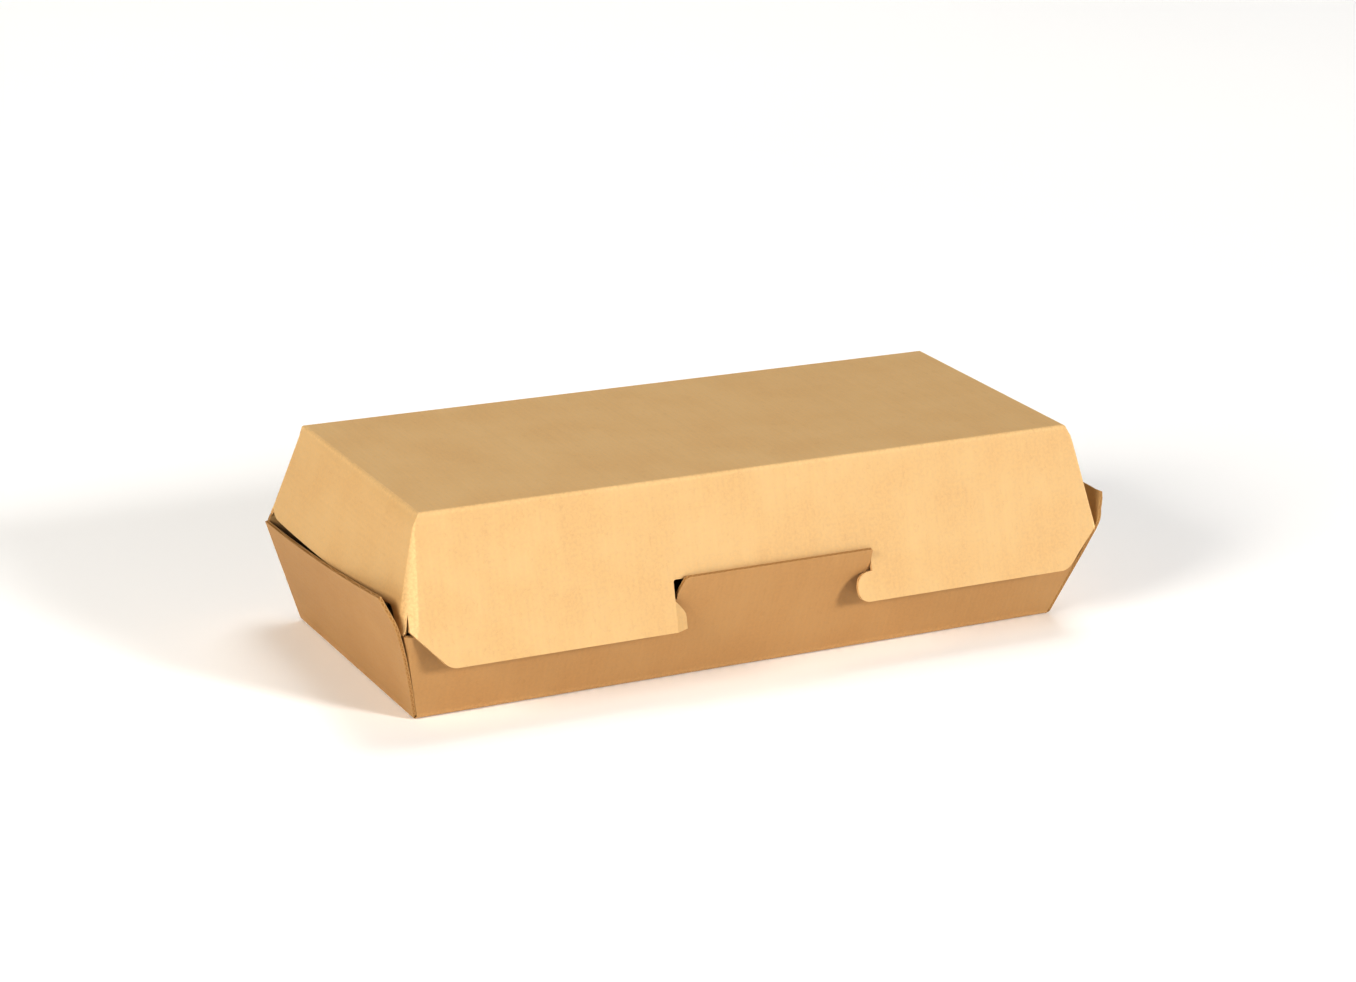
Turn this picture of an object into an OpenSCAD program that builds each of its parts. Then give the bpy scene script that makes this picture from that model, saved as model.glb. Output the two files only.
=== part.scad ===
// Takeaway box folded from one die-cut sheet of micro-flute board.
// A tray with leaning walls carries a lid on the crease along the top of its back wall.
// The lid's front panel runs on as a flap outside the tray, and a tongue of the tray fills the notch in it.
// Frame: X along the box, the flap faces -Y, Z up, origin at the centre of the floor's underside.

/* [Box] */
// Length of the floor, and of the top panel, between the end creases
panel_l = 243; // [200:1:300]
// Depth of the floor, and of the top panel, between the front and back creases
panel_w = 92.6; // [80:0.2:120]
// Height of the closed box; the hinge crease is at half of it
box_h = 69.4; // [64:0.2:80]
// Thickness of the board
board_t = 1.2; // [0.8:0.1:1.4]
// How far the front and back walls lean out between a panel and the crease
side_flare = 10.7; // [10:0.1:13]
// How far the tray's end walls lean out by the height of the crease
tray_end_flare = 9.5; // [8.5:0.1:11]

/* [Tray] */
// How far the front wall stops below the crease, beside the tongue
front_rim_drop = 3.4; // [3.2:0.1:5]
// How far the end walls stop below the crease at the back
end_rim_drop = 1.5; // [1:0.1:3]
// Height that the rim of an end wall gains from back to front
end_rim_rise = 9.8; // [0:0.2:12]
// Height up to which an end wall's front edge follows the corner
end_cut_z = 18.5; // [12:0.5:24]
// Radius of the end walls' upper front corner
end_cut_r = 5; // [1:0.5:8]
// Length of the glued flaps inside the four corners
tray_glue_l = 17; // [12:0.5:24]

/* [Lid] */
// Gap between the end walls of the lid and of the tray, at the height of the crease
end_gap = 0.8; // [0.6:0.1:2]
// How far the lid's end walls stop above the crease at the back
lid_end_lift = 1.4; // [1:0.1:4]
// Height that the lower edge of those walls gains from back to front
lid_end_rise = 3.2; // [1:0.1:5]
// Radius of the lid's end walls at their lower back corner
lid_end_r = 4; // [1:0.5:8]
// Width of the web that hangs at each front corner of the lid, where it leaves the end wall
web_w = 14; // [11:0.5:18]
// Width of the web at its lower end
web_tip_w = 6.5; // [4:0.5:9]
// Height of the slit between the web and the front panel
slit_h = 5; // [3:0.5:8]
// Length of the glued flaps inside the four corners
lid_glue_l = 15; // [10:0.5:20]
// How far the flap reaches below the crease
flap_drop = 12.8; // [10:0.2:16]
// Height of the flap's upright sides below the crease, above its slanted corners
flap_side = 1.3; // [0.8:0.1:3]

/* [Lock] */
// Length of the notch in the flap, between its two ears
notch_l = 74.4; // [60:0.2:90]
// Height of the notch's upper edge above the crease
notch_rise = 4.9; // [4:0.1:6]
// How far the notch lies off the middle of the box
notch_shift = 2.2; // [-4:0.1:4]
// Reach of the rounded nose on the right, under the ear
right_nose = 5.9; // [3:0.1:8]
// Reach of the rounded nose on the left, which is pressed in by the tongue
left_nose = 4.2; // [3:0.1:8]
// Gap between the tongue and the upper edge of the notch
tongue_gap = 0.5; // [0.4:0.1:1]
// How far the left shoulder of the tongue is cut back
left_shoulder = 3.6; // [1:0.1:6]
// How far the right shoulder of the tongue is cut back
right_shoulder = 0.6; // [0.4:0.1:6]

/* [Hidden] */
crease_z = box_h / 2;
half_l = panel_l / 2;
half_w = panel_w / 2;

// Slopes are the outward run of a wall for each unit of height
side_lean = side_flare / crease_z;
tray_end_lean = tray_end_flare / crease_z;
lid_end_lean = (tray_end_flare - end_gap - slant_t(tray_end_lean)) / crease_z;
tongue_lean = 0.04;

front_rim_z = crease_z - front_rim_drop;
front_rim_y = half_w + side_lean * front_rim_z;
end_rim_z = crease_z - end_rim_drop;
notch_z = crease_z + notch_rise;
tongue_z = notch_z - tongue_gap;
lid_end_z = crease_z - lid_end_lift;
flap_z = crease_z + flap_drop;
flap_chamfer = flap_drop - flap_side;
lid_crease_x = half_l + lid_end_lean * crease_z;

// The two back walls stop this far short of the crease, so that they meet at no angle of the lid
fold_gap = 0.1;
// Depth by which glued layers are sunk into each other
bond = 0.1;
// Breadth of the floor that is drawn with each wall
fold_strip = 4 * board_t;
// Rounding of the die-cut corners
small_r = 1.5;
flap_r = 6;
// Gap at each side of the tongue on its root
tongue_side = 0.4;
tongue_left_side = 1.5;
slit_w = 0.5;
// Height of the web's lower end above the crease
web_lift = 0.3;
nose_h = front_rim_z - (crease_z - flap_drop);
reach = panel_l + panel_w + box_h;
kraft = [0.82, 0.62, 0.40];
kraft_lit = [0.90, 0.72, 0.47];
// Number of flats that make up each rounding
arc_steps = 8;

// Thickness of a leaning board along the horizontal
function slant_t(lean) = board_t * sqrt(1 + lean * lean);

// Where the inner faces of a floor and of a wall leaning from its edge meet
function fold_centre(edge, lean) = [edge + lean * board_t - slant_t(lean), board_t];

function unit(v) = v / norm(v);

function direction(v) = atan2(v[1], v[0]);

// The points of an arc about a centre, the short way round from one point to another
function arc(centre, from, to) =
    let(
        r = norm(from - centre),
        start = direction(from - centre),
        turn = (direction(to - centre) - start + 540) % 360 - 180
    )
    [for (i = [0 : arc_steps]) let(a = start + turn * i / arc_steps) centre + r * [cos(a), sin(a)]];

// The points that round corner b, between its neighbours a and c, to radius r
function rounding(a, b, c, r) =
    let(
        u = unit(a - b),
        v = unit(c - b),
        half = acos(u * v) / 2,
        cut = r / tan(half)
    )
    arc(b + unit(u + v) * r / sin(half), b + u * cut, b + v * cut);

// A flat outline with a rounding of its own radius at each corner, 0 for a sharp one
module outline(points, radii) {
    n = len(points);
    polygon([
        for (i = [0 : n - 1])
            each radii[i] > 0
                ? rounding(points[(i + n - 1) % n], points[i], points[(i + 1) % n], radii[i])
                : [points[i]]
    ]);
}

// Turns a drawing of the lid over, which is made lying on its top panel
module over(turned) {
    if (turned)
        translate([0, box_h])
            mirror([0, 1])
                children();
    else
        children();
}

// Carries a drawing of the cross section, in Y and Z, along the length of the box
module along_x(turned = false) {
    rotate([90, 0, 90])
        linear_extrude(height = reach, center = true)
            over(turned)
                children();
}

// Carries a drawing of the long section, in X and Z, through the front half of the box
module through_front(turned = false) {
    rotate([90, 0, 0])
        linear_extrude(height = reach)
            over(turned)
                children();
}

// Carries a drawing of the long section, in X and Z, from front to back
module through_both(turned = false) {
    rotate([90, 0, 0])
        linear_extrude(height = reach, center = true)
            over(turned)
                children();
}

// Section of a wall that leans out from the edge of a floor to a height, with its fold rounded outside
module wall_section(edge, lean, height) {
    centre = fold_centre(edge, lean);
    foot = edge - fold_strip;
    outline(
        [
            [foot, 0],
            [edge, 0],
            [edge + lean * height, height],
            [edge + lean * height - slant_t(lean), height],
            centre,
            [foot, board_t]
        ],
        [
            0,
            board_t,
            0,
            0,
            0,
            0
        ]
    );
}

// The space inside the outer faces of two opposite walls, seen along them, with its lower corners rounded
module hull_section(edge, lean, height) {
    outline(
        [
            [-edge, 0],
            [edge, 0],
            [edge + lean * height, height],
            [-edge - lean * height, height]
        ],
        [
            board_t,
            board_t,
            0,
            0
        ]
    );
}

// The length between the inner faces of the end walls, for the walls that fold inside them
module between_ends(lean, height) {
    edge = half_l - slant_t(lean) + bond;
    polygon([
        [-edge, 0],
        [edge, 0],
        [edge + lean * height, height],
        [-edge - lean * height, height]
    ]);
}

// Both end walls of a shell with the strip of floor that they fold from, cut to an outline in Y and Z
module end_walls(lean, height, turned = false) {
    intersection() {
        through_both(turned)
            for (side = [0, 1])
                mirror([side, 0])
                    wall_section(half_l, lean, height);
        along_x(turned)
            children();
    }
}

// The glued flaps inside both end walls of a shell: strips of a length at each corner, up to a height
module glue_flaps(lean, height, length, turned = false) {
    edge = half_l - slant_t(lean) + bond;
    intersection() {
        through_both(turned)
            for (side = [0, 1])
                mirror([side, 0])
                    polygon([
                        [edge + lean * bond, bond],
                        [edge + lean * height, height],
                        [edge + lean * height - slant_t(lean), height],
                        [edge + lean * bond - slant_t(lean), bond]
                    ]);
        along_x(turned)
            glue_outline(length, height);
    }
}

// Outline of the glued flaps in Y and Z
module glue_outline(length, height) {
    foot = half_w - length;
    head = half_w + side_lean * height;
    intersection() {
        hull_section(half_w, side_lean, height);
        for (side = [0, 1])
            mirror([side, 0])
                outline(
                    [
                        [foot, 0],
                        [head, 0],
                        [head, height],
                        [foot + length / 4, height - small_r]
                    ],
                    [
                        0,
                        0,
                        0,
                        2 * small_r
                    ]
                );
    }
}

// The floor and the back wall, which the tray and the lid have alike
module floor_and_back(end_lean, turned = false) {
    intersection() {
        along_x(turned) {
            translate([-half_w + fold_strip, 0])
                square([panel_w - 2 * fold_strip, board_t]);
            wall_section(half_w, side_lean, crease_z - fold_gap);
        }
        through_both(turned)
            between_ends(end_lean, crease_z);
    }
}

// The front wall of the tray up to its rim
module tray_front() {
    intersection() {
        along_x()
            mirror([1, 0])
                wall_section(half_w, side_lean, front_rim_z);
        through_front()
            between_ends(tray_end_lean, crease_z);
    }
}

// The tongue that stands on the rim of the front wall and bends up nearly straight
module tongue() {
    rise = tongue_z - front_rim_z;
    left = notch_shift - notch_l / 2 + tongue_left_side;
    right = notch_shift + notch_l / 2 - tongue_side;
    intersection() {
        along_x()
            polygon([
                [-front_rim_y, front_rim_z],
                [-front_rim_y - tongue_lean * rise, tongue_z],
                [-front_rim_y - tongue_lean * rise + board_t, tongue_z],
                [-front_rim_y + slant_t(side_lean), front_rim_z],
                [-front_rim_y + board_t, front_rim_z - board_t],
                [-front_rim_y + 2 * side_lean * board_t, front_rim_z - board_t]
            ]);
        through_front()
            outline(
                [
                    [left, front_rim_z - 2 * board_t],
                    [right, front_rim_z - 2 * board_t],
                    [right - right_shoulder, tongue_z],
                    [left + left_shoulder, tongue_z]
                ],
                [
                    0,
                    0,
                    small_r,
                    small_r
                ]
            );
    }
}

// Outline of the tray's end walls: their rim climbs to the front, where they are cut back from the corner
module tray_end_outline() {
    top = end_rim_z + end_rim_rise;
    cut_y = half_w + side_lean * end_cut_z;
    cut_lean = end_cut_r / 3 / (top - end_cut_z);
    intersection() {
        hull_section(half_w, side_lean, top);
        outline(
            [
                [-cut_y - cut_lean * end_cut_z, 0],
                [half_w + side_flare, 0],
                [half_w + side_flare, end_rim_z],
                [-cut_y + end_cut_r / 3, top]
            ],
            [
                0,
                0,
                0,
                end_cut_r
            ]
        );
    }
}

// The tray: floor, back wall, front wall with its tongue, and end walls with the flaps glued inside them
module tray() {
    color(kraft) {
        floor_and_back(tray_end_lean);
        tray_front();
        tongue();
        end_walls(tray_end_lean, end_rim_z + end_rim_rise)
            tray_end_outline();
        glue_flaps(tray_end_lean, front_rim_z, tray_glue_l);
    }
}

// The lid is drawn lying on its top panel, so the heights in its outlines are measured down from the top

// Outline of the lid's front panel and flap, with the slanted corners of the flap
module lid_front_outline() {
    outer = lid_crease_x;
    shoulder = flap_z - flap_chamfer;
    outline(
        [
            [-half_l, 0],
            [half_l, 0],
            [outer, crease_z],
            [outer, shoulder],
            [outer - flap_chamfer, flap_z],
            [-outer + flap_chamfer, flap_z],
            [-outer, shoulder],
            [-outer, crease_z]
        ],
        [
            board_t,
            board_t,
            0,
            small_r,
            flap_r,
            flap_r,
            small_r,
            0
        ]
    );
}

// The notch that the tongue fills, open at the lower edge of the flap, with a rounded nose below each ear
module notch_outline() {
    left = notch_shift - notch_l / 2;
    right = notch_shift + notch_l / 2;
    top = box_h - notch_z;
    ear = flap_z - nose_h;
    below = flap_z + board_t;
    nose_r = nose_h * 0.48;
    outline(
        [
            [left, top],
            [right, top],
            [right, ear],
            [right - right_nose, ear],
            [right - right_nose, flap_z],
            [right, flap_z],
            [right, below],
            [left, below],
            [left, flap_z],
            [left + left_nose, flap_z],
            [left + left_nose, ear],
            [left, ear]
        ],
        [
            small_r,
            small_r,
            0,
            min(nose_r, right_nose - bond),
            min(nose_r, right_nose - bond),
            0,
            0,
            0,
            0,
            min(nose_r, left_nose - bond),
            min(nose_r, left_nose - bond),
            0
        ]
    );
}

// The lid's front panel with its flap and notch
module lid_front() {
    difference() {
        intersection() {
            along_x(true)
                mirror([1, 0])
                    wall_section(half_w, side_lean, flap_z);
            through_front(true)
                lid_front_outline();
        }
        through_front(true)
            notch_outline();
    }
}

// Outline of the lid's end walls, with the web at the front corner that hangs down to the crease
module lid_end_outline() {
    head = half_w + side_flare;
    web_z = crease_z - web_lift;
    front_z = lid_end_z - lid_end_rise;
    inner = half_w + side_lean * web_z - slant_t(side_lean);
    intersection() {
        hull_section(half_w, side_lean, web_z);
        difference() {
            union() {
                outline(
                    [
                        [-head, 0],
                        [half_w + side_lean * lid_end_z, 0],
                        [half_w + side_lean * lid_end_z, lid_end_z],
                        [-head, front_z]
                    ],
                    [
                        0,
                        0,
                        lid_end_r,
                        0
                    ]
                );
                outline(
                    [
                        [-head, front_z - slit_h],
                        [-head + web_w, front_z - slit_h],
                        [-head + web_w, front_z + board_t / 2],
                        [-head + web_tip_w, web_z],
                        [-head, web_z]
                    ],
                    [
                        0,
                        0,
                        0,
                        small_r,
                        0
                    ]
                );
            }
            polygon([
                [-inner + side_lean * slit_h - slit_w, web_z - slit_h],
                [-inner - side_lean * slit_w - slit_w, web_z + slit_w],
                [-inner - side_lean * slit_w + slit_w, web_z + slit_w],
                [-inner + side_lean * slit_h + slit_w, web_z - slit_h]
            ]);
        }
    }
}

// The lid: top panel, back wall, front panel with its flap, and end walls with the flaps glued inside them
module lid() {
    color(kraft_lit) {
        floor_and_back(lid_end_lean, true);
        lid_front();
        end_walls(lid_end_lean, crease_z, true)
            lid_end_outline();
        glue_flaps(lid_end_lean, lid_end_z - lid_end_rise - small_r, lid_glue_l, true);
    }
}

tray();
lid();
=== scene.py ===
"""Takeaway box of kraft micro-flute board, folded from one die-cut sheet and shut by its front flap.

Every piece is a board: a grid of points on the sheet's outer face, worked out with numpy in
millimetres, and given its thickness inwards. Each point also knows where it lay on the flat sheet,
so fibres, flutes and creases follow the sheet round every fold. The flutes run along the flat
sheet's second coordinate, which is up the front and back walls and across the two panels.
"""

import itertools
import logging
import math
from dataclasses import dataclass, field
from enum import Enum
from typing import Any

import bpy
import numpy as np
from mathutils import Matrix, Vector


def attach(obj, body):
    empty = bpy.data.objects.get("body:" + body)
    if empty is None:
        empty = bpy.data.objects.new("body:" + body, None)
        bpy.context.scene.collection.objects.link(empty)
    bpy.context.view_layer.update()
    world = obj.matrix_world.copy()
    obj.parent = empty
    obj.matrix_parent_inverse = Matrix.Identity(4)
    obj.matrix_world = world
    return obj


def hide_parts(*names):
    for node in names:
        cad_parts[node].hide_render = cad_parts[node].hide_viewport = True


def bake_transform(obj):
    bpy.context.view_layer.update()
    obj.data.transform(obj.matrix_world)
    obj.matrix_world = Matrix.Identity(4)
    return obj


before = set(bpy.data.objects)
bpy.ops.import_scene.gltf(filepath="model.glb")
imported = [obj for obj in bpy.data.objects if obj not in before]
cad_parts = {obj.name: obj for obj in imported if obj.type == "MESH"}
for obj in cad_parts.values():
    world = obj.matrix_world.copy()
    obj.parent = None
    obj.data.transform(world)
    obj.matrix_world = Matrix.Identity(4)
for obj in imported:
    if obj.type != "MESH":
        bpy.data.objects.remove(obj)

MM = 0.001
# Width of the photograph in pixels.
IMAGE_WIDTH = 1356
# Height in millimetres of the crease between the two back walls.
CREASE_HEIGHT = 34.7
# Points of two patches are one point where their places round to the same step, in millimetres.
MERGE_STEP = 0.004
# Shift of that rounding, in steps, so that round places don't lie halfway between two of them.
MERGE_SHIFT = 0.317
# Edges that turn by more degrees than this stay sharp.
SHARP_ANGLE = 24.0
# Distances from a fold, in millimetres, between which its pale line fades out: rubbed paper, and a painted
# highlight along the fold.
WEAR_AND_HIGHLIGHT_BAND = (0.4, 2.6)
# Radius in millimetres of the tray's upright corners at the floor, where they are all but sharp.
SHARP = 0.02
# Place of the lid's middle on the flat sheet, far enough away that its pattern is not the tray's.
LID_START = 300.0
# Shares of a half corner's length at its columns, close together at the slit.
BEND = np.array([0.0, 0.2, 0.4, 0.6, 0.75, 0.85, 0.92, 0.97, 1.0])
# Settings that several nodes share.
FLAT_NOISE = {"noise_dimensions": "2D"}
COLOUR_MIX = {"data_type": "RGBA"}
EASED = {"interpolation_type": "SMOOTHSTEP"}
MULTIPLY = {"operation": "MULTIPLY"}
MULTIPLY_ADD = {"operation": "MULTIPLY_ADD"}
SUBTRACT = {"operation": "SUBTRACT"}
ABSOLUTE = {"operation": "ABSOLUTE"}
log = logging.getLogger("takeaway_box")

Array = np.ndarray
Socket = bpy.types.NodeSocket
Node = bpy.types.Node


class End(Enum):
    """The two ends of the box, by the sign of X on their side."""

    LEFT = -1
    RIGHT = 1


class Side(Enum):
    """The two long sides of the box, by the sign of Y on their side."""

    FRONT = -1
    BACK = 1


class Face(Enum):
    """Material slots of a board: the face outside the box, the face inside it, and the cut edge."""

    OUTSIDE = 0
    INSIDE = 1
    EDGE = 2


def smooth(x: Array, start: float, end: float) -> Array:
    """Rises from 0 to 1 between two values with a cubic ease: 3t squared minus 2t cubed.

    Args:
        x: Values to place.
        start: Value at which the result leaves 0.
        end: Value at which the result reaches 1.

    Returns:
        The eased share at each value.
    """
    t = np.clip((np.asarray(x, float) - start) / (end - start), 0.0, 1.0)
    return t * t * (3.0 - 2.0 * t)


def blunt(x: Array, ease: float) -> Array:
    """The positive part of x with its knee rounded.

    It is half the sum of x and the root of x squared plus ease squared.

    Args:
        x: Values to take.
        ease: How widely the knee is rounded.

    Returns:
        The rounded positive part of each value.
    """
    x = np.asarray(x, float)
    return (x + np.sqrt(x * x + ease * ease)) / 2.0


def spaced(*stations: tuple[float, int]) -> Array:
    """Runs of evenly spaced values through the stations.

    Args:
        stations: Each a value, and the number of steps that lead to it from the one before.

    Returns:
        All the values in order, each station once.
    """
    values = [np.array([stations[0][0]])]
    for (start, _), (end, steps) in zip(stations, stations[1:]):
        values.append(np.linspace(start, end, steps + 1)[1:])
    return np.concatenate(values)


def spread(values: Array, count: int) -> Array:
    """Repeats the value of each row over a number of columns."""
    return np.repeat(values[:, None], count, 1)


def grid_faces(rows: int, columns: int) -> Array:
    """Faces of a grid whose points are numbered row by row, as four point numbers each."""
    index = np.arange(rows * columns).reshape(rows, columns)
    quads = np.stack([index[:-1, :-1], index[:-1, 1:], index[1:, 1:], index[1:, :-1]], -1)
    return quads.reshape(-1, 4)


def of_end(pair: tuple[float, float], end: End) -> float:
    """Picks an end's value from a pair that holds left and right."""
    return pair[0] if end is End.LEFT else pair[1]


@dataclass(frozen=True)
class Fold:
    """A crease where a flat panel turns into a leaning wall, rounded on its outer face.

    Attributes:
        edge: Distance from the panel's middle to where its plane and the wall's would meet.
        lean: Outward run of the wall for each unit of height.
        radius: Radius of the outer face round the crease.
    """

    edge: float
    lean: float
    radius: float = 1.5

    @property
    def turn(self) -> float:
        """Angle that the sheet turns through at the crease."""
        return math.atan2(1.0, self.lean)

    @property
    def start(self) -> float:
        """Distance at which the flat panel ends: the edge less radius times tan of half the turn."""
        return self.edge - self.radius * math.tan(self.turn / 2.0)

    @property
    def clear(self) -> float:
        """Height above the panel at which the wall is flat again."""
        return self.radius * (1.0 - math.cos(self.turn))

    def reach(self, height: Array) -> Array:
        """Distance of the outer face from the middle: a circle, then above it the leaning line."""
        height = np.asarray(height, float)
        low = np.clip(height, 0.0, self.clear)
        circle = self.start + np.sqrt(np.maximum(self.radius**2 - (self.radius - low) ** 2, 0.0))
        return np.where(height < self.clear, circle, self.edge + self.lean * height)

    def run(self, height: Array) -> Array:
        """Distance along the sheet: the flat part, then radius times angle, then the slanted wall."""
        height = np.asarray(height, float)
        low = np.clip(height, 0.0, self.clear)
        bend = self.radius * np.arccos(1.0 - low / self.radius)
        return self.start + bend + (height - low) * math.hypot(1.0, self.lean)

    def rows(self, steps: int = 5) -> Array:
        """Heights of grid rows that share the bend out evenly by angle."""
        return self.radius * (1.0 - np.cos(np.linspace(0.0, self.turn, steps + 1)))


@dataclass
class Patch:
    """One grid on the outer face of the sheet.

    Attributes:
        points: Place of each point in the box, in millimetres, as rows by columns by 3.
        flat: Place of each point on the flat sheet, in millimetres, as rows by columns by 2.
        crease: How much each point lies on a crease, from 0 to 1.
    """

    points: Array
    flat: Array
    crease: Array


@dataclass
class Board:
    """A sheet of board that gathers patches and becomes one mesh with thickness.

    Attributes:
        name: Name of the Blender object.
        thickness: Thickness of the board in millimetres.
        inside: A point on the inner side of every patch, which tells their faces which way is out.
    """

    name: str
    thickness: float
    inside: tuple[float, float, float] = (0.0, 0.0, CREASE_HEIGHT)
    patches: list[Patch] = field(default_factory=list)

    def add(self, patch: Patch) -> None:
        """Adds a patch, turned so that its faces point away from the inside."""
        p = patch.points
        across = np.cross(p[1:, :-1] - p[:-1, :-1], p[:-1, 1:] - p[:-1, :-1])
        outward = np.sum(across * (p[:-1, :-1] - np.array(self.inside)))
        if outward > 0.0:
            patch = Patch(p[:, ::-1], patch.flat[:, ::-1], patch.crease[:, ::-1])
        self.patches.append(patch)

    def _surface(self) -> tuple[Array, Array, Array, Array]:
        """Joins the patches where their points fall together, and drops faces that shrink to a line.

        Returns:
            Points, faces as four point numbers each, flat place of each face's corners, and crease weights.
        """
        points, faces, flats, crease, offset = [], [], [], [], 0
        for patch in self.patches:
            quads = grid_faces(*patch.points.shape[:2])
            faces.append(quads + offset)
            points.append(patch.points.reshape(-1, 3))
            crease.append(patch.crease.reshape(-1))
            flats.append(patch.flat.reshape(-1, 2)[quads])
            offset += patch.crease.size
        points, crease = np.concatenate(points), np.concatenate(crease)
        faces, flats = np.concatenate(faces), np.concatenate(flats)
        keys = np.round(points / MERGE_STEP + MERGE_SHIFT).astype(np.int64)
        _, first, back = np.unique(keys, axis=0, return_index=True, return_inverse=True)
        back = back.reshape(-1)
        weight = np.zeros(len(first))
        np.maximum.at(weight, back, crease)
        faces = back[faces]
        sound = (faces != np.roll(faces, -1, axis=1)).sum(axis=1) >= 3
        return points[first], faces[sound], flats[sound], weight

    @staticmethod
    def _normals(points: Array, faces: Array) -> Array:
        """Unit normal of each point: the sum of the diagonals' cross products of the faces that hold it."""
        a, b, c, d = (points[faces[:, k]] for k in range(4))
        across = np.cross(c - a, d - b)
        size = np.linalg.norm(across, axis=1, keepdims=True)
        across = across / np.maximum(size, 1e-9) * np.sqrt(np.maximum(size, 1e-9))
        total = np.zeros_like(points)
        for k in range(4):
            np.add.at(total, faces[:, k], across)
        return total / np.maximum(np.linalg.norm(total, axis=1, keepdims=True), 1e-9)

    def build(self) -> bpy.types.Object:
        """Makes the mesh: the outer face, the inner one a thickness inside it along the normals, and a rim.

        Returns:
            The object, at the origin, with UV map "sheet" in millimetres and attribute "crease".
        """
        points, faces, flats, weight = self._surface()
        count = len(points)
        inner = points - self._normals(points, faces) * self.thickness
        starts, ends = faces.reshape(-1), np.roll(faces, -1, axis=1).reshape(-1)
        flat_starts = flats.reshape(-1, 2)
        flat_ends = np.roll(flats, -1, axis=1).reshape(-1, 2)
        live = starts != ends
        ways = starts.astype(np.int64) * count + ends
        free = live & ~np.isin(ways, ends[live].astype(np.int64) * count + starts[live])
        a, b = starts[free], ends[free]
        rim = np.stack([b, a, a + count, b + count], -1)
        zero, deep = np.zeros(len(a)), np.full(len(a), self.thickness)
        rim_flat = np.stack([
            np.stack([flat_ends[free][:, 0], zero], -1),
            np.stack([flat_starts[free][:, 0], zero], -1),
            np.stack([flat_starts[free][:, 0], deep], -1),
            np.stack([flat_ends[free][:, 0], deep], -1),
        ], 1)
        under = faces[:, ::-1] + count
        all_faces = np.concatenate([faces, under, rim])
        all_flats = np.concatenate([flats, flats[:, ::-1], rim_flat])
        slots = np.repeat([face.value for face in Face], [len(faces), len(under), len(rim)])
        return self._object(np.concatenate([points, inner]), all_faces, all_flats, slots, np.tile(weight, 2))

    def _object(
        self, points: Array, faces: Array, flats: Array, slots: Array, weight: Array
    ) -> bpy.types.Object:
        """Puts whole arrays into a mesh, and drops from each face the corners that fell together.

        Args:
            points: Points in millimetres.
            faces: Four point numbers a face.
            flats: Flat place of each face's corners.
            slots: Material slot of each face.
            weight: Crease weight of each point.

        Returns:
            The new object, linked to the scene.
        """
        keep = faces != np.roll(faces, -1, axis=1)
        sound = keep.sum(axis=1) >= 3
        faces, flats, slots, keep = faces[sound], flats[sound], slots[sound], keep[sound]
        sizes = keep.sum(axis=1)
        mesh = bpy.data.meshes.new(self.name)
        mesh.vertices.add(len(points))
        mesh.vertices.foreach_set("co", (points * MM).astype(np.float32).ravel())
        mesh.loops.add(int(sizes.sum()))
        mesh.loops.foreach_set("vertex_index", faces[keep].astype(np.int32))
        mesh.polygons.add(len(sizes))
        firsts = np.concatenate([[0], np.cumsum(sizes)[:-1]])
        mesh.polygons.foreach_set("loop_start", firsts.astype(np.int32))
        mesh.polygons.foreach_set("material_index", slots.astype(np.int32))
        mesh.uv_layers.new(name="sheet").data.foreach_set("uv", flats[keep].astype(np.float32).ravel())
        mesh.attributes.new("crease", "FLOAT", "POINT").data.foreach_set("value", weight.astype(np.float32))
        mesh.update(calc_edges=True)
        mesh.validate()
        mesh.polygons.foreach_set("use_smooth", np.ones(len(mesh.polygons), bool))
        piece = bpy.data.objects.new(self.name, mesh)
        bpy.context.scene.collection.objects.link(piece)
        mesh.set_sharp_from_angle(angle=math.radians(SHARP_ANGLE))
        log.info("%s: %d points, %d faces", self.name, len(points), len(sizes))
        return piece


@dataclass(frozen=True)
class Sizes:
    """Sizes of the box that the tray and the lid share, in millimetres, as the frame's solids have them.

    Attributes:
        half_length: Half the length of the floor and of the top panel.
        half_width: Half their width.
        height: Height of the shut box.
        crease_height: Height of the crease between the two back walls.
        thickness: Thickness of the board.
        side_lean: Outward run of the front and back walls for each unit of height.
        tray_end_lean: Outward run of the tray's end walls.
        lid_end_lean: Outward run of the lid's end walls.
        glue: Space between two boards that are glued together.
    """

    half_length: float = 121.5
    half_width: float = 46.3
    height: float = 69.4
    crease_height: float = CREASE_HEIGHT
    thickness: float = 1.2
    side_lean: float = 10.7 / CREASE_HEIGHT
    tray_end_lean: float = 9.5 / CREASE_HEIGHT
    lid_end_lean: float = 0.21486
    glue: float = 0.05

    def slant(self, lean: float) -> float:
        """Thickness of a leaning board along the horizontal."""
        return self.thickness * math.hypot(1.0, lean)


def corner_strip(
    edge_x: Array, edge_y: Array, radius: Array, curl: Array, share: Array
) -> tuple[Array, Array]:
    """Half of a rounded upright corner, from the long wall to the middle of the bend.

    The strip is an eighth of a circle long. With curl 1 it turns through 45 degrees, and with curl 0
    it lies in the wall's own plane: at distance s along it, x gains the integral of cos and y that
    of sin of curl times s over the radius.

    Args:
        edge_x: Distance from the middle at which the corner's planes would meet, along the wall.
        edge_y: The same across the wall.
        radius: Radius of the corner.
        curl: Share of the bend that is left, from 1 to 0.
        share: Part of the strip's length at each column, from 0 at the wall to 1 at the bend's middle.

    Returns:
        Distances along and across the wall, as rows by columns.
    """
    length = np.pi / 4.0 * radius[:, None] * share[None, :]
    bend = np.maximum(curl[:, None] / radius[:, None], 1e-6)
    along = (edge_x - radius)[:, None] + np.sin(bend * length) / bend
    across = edge_y[:, None] - (1.0 - np.cos(bend * length)) / bend
    return along, across


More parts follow.
